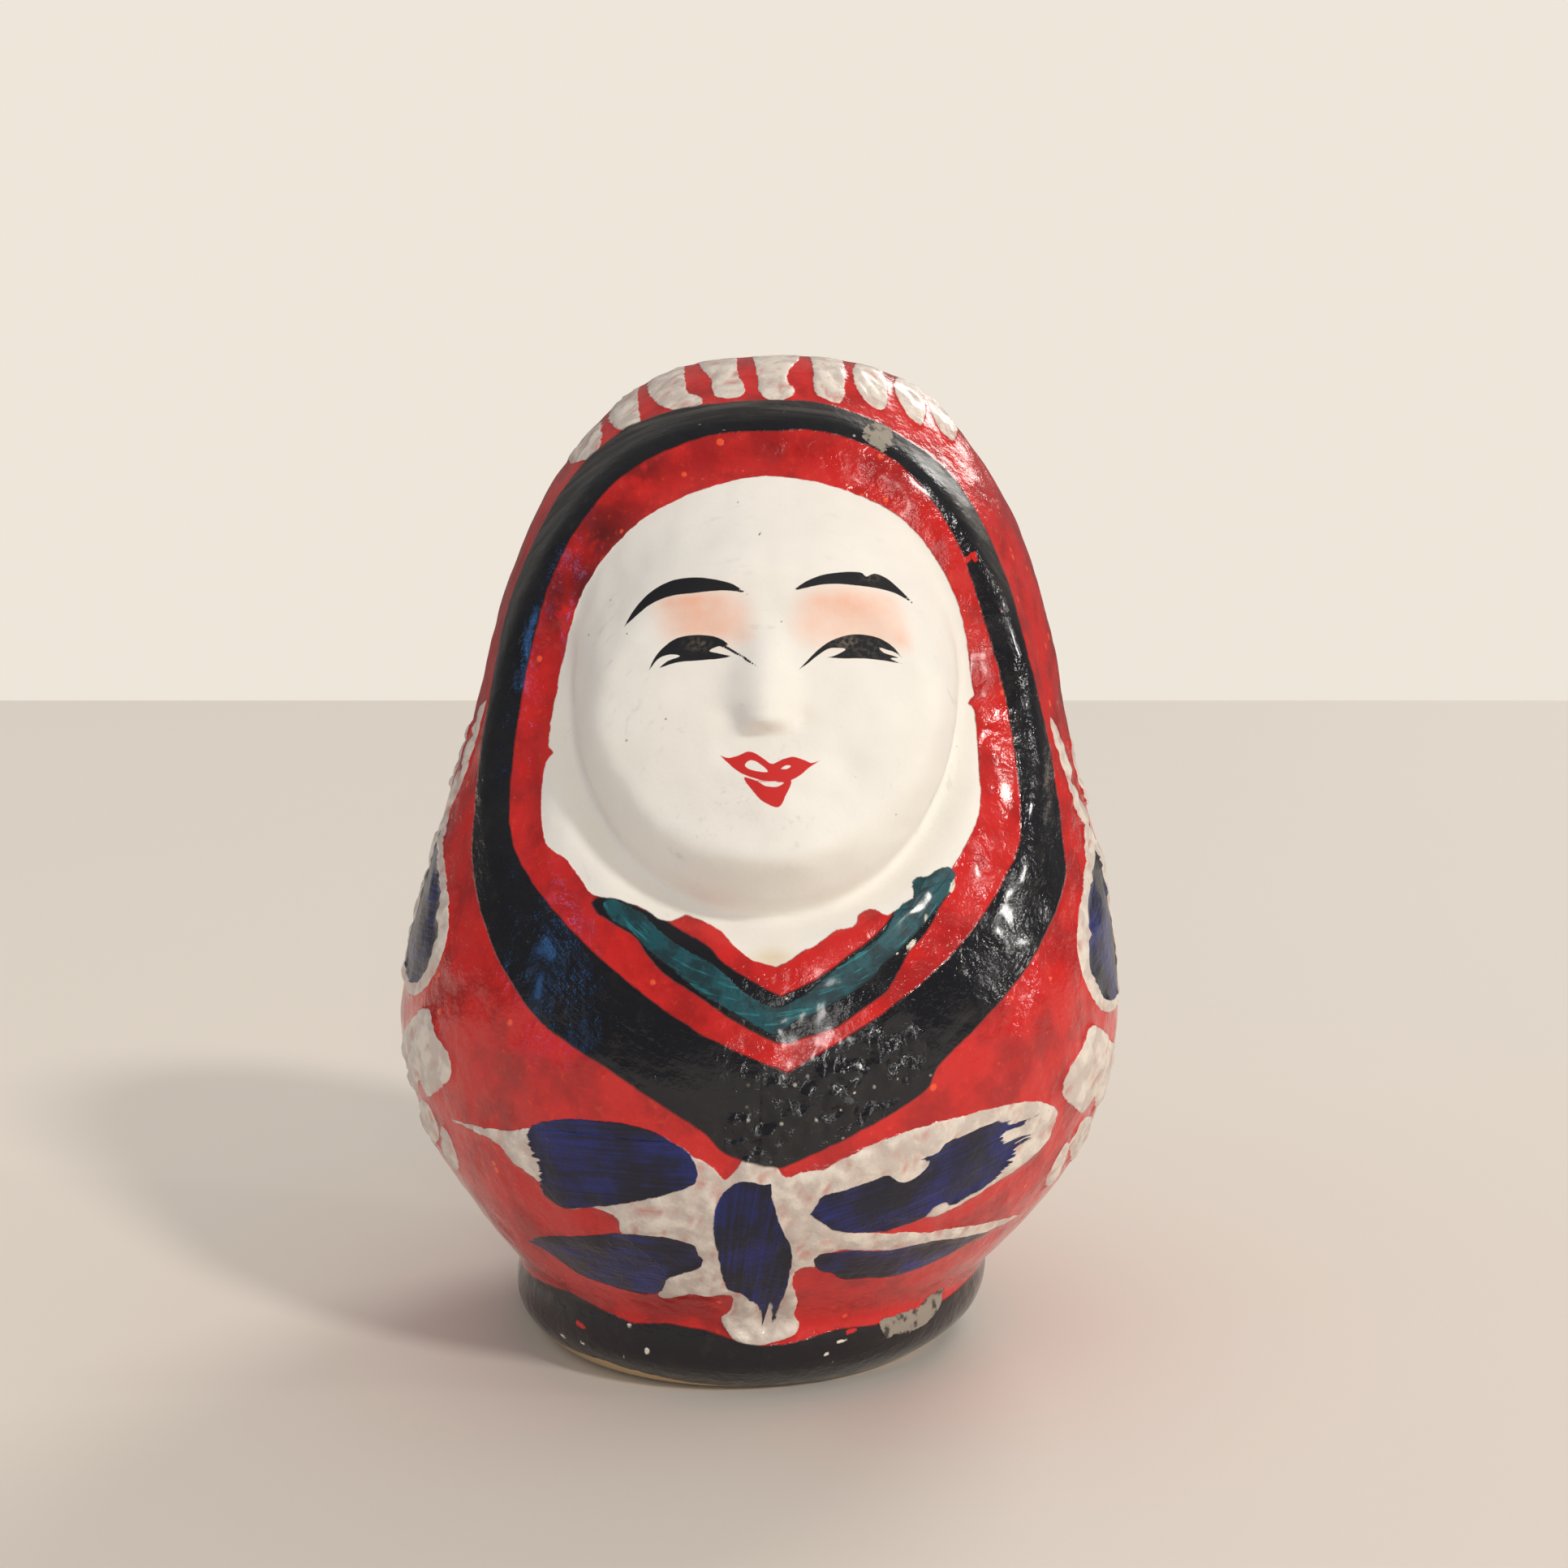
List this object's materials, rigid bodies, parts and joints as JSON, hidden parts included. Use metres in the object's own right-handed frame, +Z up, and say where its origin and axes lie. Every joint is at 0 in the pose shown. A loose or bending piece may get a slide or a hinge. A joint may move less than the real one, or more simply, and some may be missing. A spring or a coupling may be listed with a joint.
{
  "type": "papier-mache figure",
  "caption": "Small hollow papier-mache folk doll in the princess daruma form: a pear-shaped hooded body with a raised face, on a round foot, painted by hand.",
  "frame": {"origin": "middle of the flat sole under the foot", "axes": "+Z up along the figure, -Y the way the face looks, +X towards the viewer's right when facing the figure"},
  "size_m": [0.0668, 0.0646, 0.09],
  "materials": {
    "painted_paper": "pasted paper primed with chalk white, brushed with glossy red and black paint; the face is left matt white"
  },
  "bodies": {
    "root": {"papier_mache_shell": "painted_paper"}
  },
  "joints": []
}
